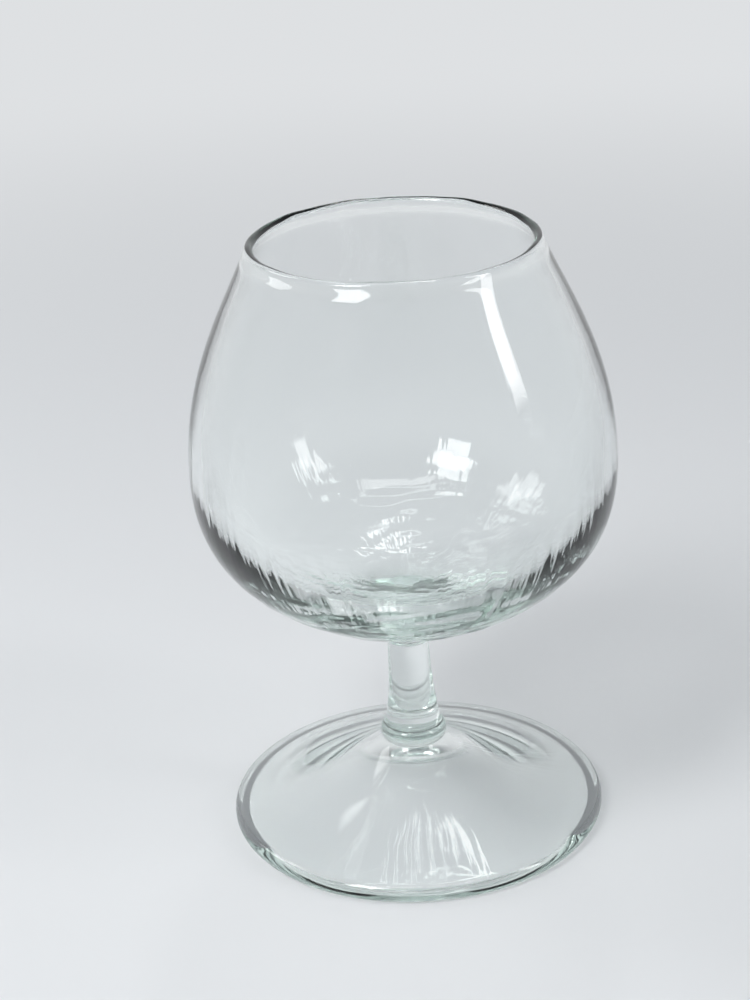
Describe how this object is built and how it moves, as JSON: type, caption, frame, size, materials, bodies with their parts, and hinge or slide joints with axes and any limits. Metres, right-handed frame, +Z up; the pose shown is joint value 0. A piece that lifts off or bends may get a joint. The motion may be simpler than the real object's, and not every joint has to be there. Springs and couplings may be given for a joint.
{
  "type": "brandy snifter",
  "caption": "Clear glass brandy snifter: balloon bowl narrowing to its mouth, short drawn stem, glass collar and a flared, hollow foot.",
  "frame": {"origin": "centre of the foot's standing ring, on the table", "axes": "+Z up along the stem's axis, from the foot to the mouth; the glass is round, so X and Y are free"},
  "size_m": [0.08, 0.08, 0.118],
  "materials": {
    "clear_glass": "clear, fire-polished"
  },
  "bodies": {
    "root": {"foot": "clear_glass", "collar": "clear_glass", "stem": "clear_glass", "bowl": "clear_glass"}
  },
  "joints": []
}
